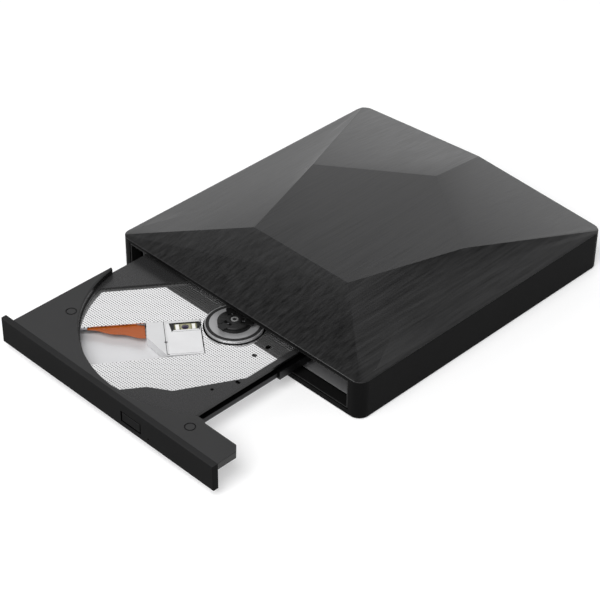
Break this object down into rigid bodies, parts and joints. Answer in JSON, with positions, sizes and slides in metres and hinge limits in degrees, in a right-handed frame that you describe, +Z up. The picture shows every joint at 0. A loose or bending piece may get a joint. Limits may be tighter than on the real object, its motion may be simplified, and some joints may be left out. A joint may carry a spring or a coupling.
{
  "type": "external optical drive",
  "caption": "Slim external disc drive with a faceted roof, drawn-out loading tray, sprung disc hub, sliding laser pickup and a rear socket.",
  "frame": {"origin": "middle of the case's footprint, in the plane that the feet rest on", "axes": "+X right seen from the front, the tray opens towards -Y, +Z up"},
  "size_m": [0.1442, 0.2254, 0.0262],
  "materials": {
    "case_dark": "satin dark grey",
    "case_brushed": "brushed dark grey",
    "liner": "matte",
    "rubber": "matte",
    "screw_steel": "satin",
    "sheet_metal": "brushed",
    "connector_plastic": "matte",
    "board": "solder mask",
    "chip": "matte",
    "socket_steel": "bright",
    "guide_plastic": "matte",
    "ribbon_film": "satin film",
    "rail_steel": "dark satin",
    "tray_plastic": "fine texture",
    "bezel_plastic": "satin",
    "white_plate": "fine perforation",
    "cast_metal": "cast",
    "ground_steel": "ground",
    "coil": "lacquer",
    "flex_film": "orange film",
    "turntable_metal": "turned",
    "hub_plastic": "satin",
    "pickup_metal": "light grey",
    "actuator_gold": "satin",
    "lens_glass": "clear"
  },
  "bodies": {
    "case": {"base_shell": "case_dark", "roof_cover": "case_brushed", "mouth_frame": "liner", "foot_pads": "rubber", "case_screws": "screw_steel", "drive_chassis": "sheet_metal", "drive_top_cover": "sheet_metal", "cover_screws": "screw_steel", "drive_pads": "rubber", "drive_connector": "connector_plastic", "drive_board": "board", "drive_chips": "chip", "bridge_board": "board", "bridge_chips": "chip", "bridge_plug": "connector_plastic", "usb_socket": "socket_steel", "usb_tongue": "connector_plastic", "right_guide": "guide_plastic", "left_guide": "guide_plastic", "latch_pin": "screw_steel", "ribbon_fixed": "ribbon_film"},
    "rails": {"right_rail": "rail_steel", "left_rail": "rail_steel", "ribbon_fold": "ribbon_film"},
    "tray": {"tray": "tray_plastic", "front_bezel": "bezel_plastic", "eject_switch": "connector_plastic", "tray_board": "board", "tray_board_chips": "chip", "cover_plate": "white_plate", "traverse_frame": "cast_metal", "damper_bushes": "rubber", "plate_screws": "screw_steel", "tray_bottom_plate": "sheet_metal", "tray_runners": "rail_steel", "guide_rods": "ground_steel", "feed_motor": "socket_steel", "screw_bearing": "guide_plastic", "latch_solenoid": "coil", "latch_pivot": "screw_steel", "spindle_base": "cast_metal", "pickup_flex": "flex_film", "ribbon_tray": "ribbon_film"},
    "spindle": {"rotor_cup": "socket_steel", "turntable": "turntable_metal", "grip_ring": "rubber", "clamp_hub": "hub_plastic", "centre_ring": "ground_steel"},
    "pickup": {"pickup_body": "pickup_metal", "pickup_cover": "pickup_metal", "actuator_frame": "actuator_gold", "feed_nut": "guide_plastic"},
    "lens": {"lens_holder": "hub_plastic", "objective_lens": "lens_glass"},
    "lead_screw": {"lead_screw": "ground_steel"},
    "button": {"eject_button": "bezel_plastic"},
    "latch": {"latch_lever": "guide_plastic"},
    "claw_1": {"claw_1": "hub_plastic"},
    "claw_2": {"claw_2": "hub_plastic"},
    "claw_3": {"claw_3": "hub_plastic"}
  },
  "joints": [
    {"name": "tray_slide", "type": "slide", "parent": "case", "child": "tray", "axis": [0, -1, 0], "range_m": [-0.0718, 0.058]},
    {"name": "rail_slide", "type": "slide", "parent": "case", "child": "rails", "axis": [0, -1, 0], "range_m": [-0.0359, 0.029]},
    {"name": "spindle_spin", "type": "hinge", "parent": "tray", "child": "spindle", "pos_m": [0.0032, -0.0797, 0.01385], "axis": [0, 0, 1], "continuous": true},
    {"name": "pickup_slide", "type": "slide", "parent": "tray", "child": "pickup", "axis": [-0.6088, -0.7934, 0], "range_m": [0, 0.036], "deforming": ["pickup_flex"]},
    {"name": "lens_focus", "type": "slide", "parent": "pickup", "child": "lens", "axis": [0, 0, 1], "range_m": [-0.0003, 0.0003], "stiffness_N_per_m": 40},
    {"name": "lead_screw_spin", "type": "hinge", "parent": "tray", "child": "lead_screw", "pos_m": [-0.02483, -0.09159, 0.00965], "axis": [-0.6088, -0.7934, 0], "range_deg": [0, 4320]},
    {"name": "button_press", "type": "slide", "parent": "tray", "child": "button", "axis": [0, 1, 0], "range_m": [0, 0.0008], "stiffness_N_per_m": 500},
    {"name": "latch_turn", "type": "hinge", "parent": "tray", "child": "latch", "pos_m": [0.0275, -0.1406, 0.0052], "axis": [0, 0, 1], "range_deg": [-8, 0]},
    {"name": "claw_1_slide", "type": "slide", "parent": "spindle", "child": "claw_1", "axis": [-0.0087, 1, 0], "range_m": [0, 0.0011], "stiffness_N_per_m": 300},
    {"name": "claw_2_slide", "type": "slide", "parent": "spindle", "child": "claw_2", "axis": [-0.8616, -0.5075, 0], "range_m": [0, 0.0011], "stiffness_N_per_m": 300},
    {"name": "claw_3_slide", "type": "slide", "parent": "spindle", "child": "claw_3", "axis": [0.8704, -0.4924, 0], "range_m": [0, 0.0011], "stiffness_N_per_m": 300}
  ],
  "couplings": [
    {"joint": "rail_slide", "follows": "tray_slide", "ratio": 0.5},
    {"joint": "lead_screw_spin", "follows": "pickup_slide", "rad_per_m": 2094.4}
  ]
}
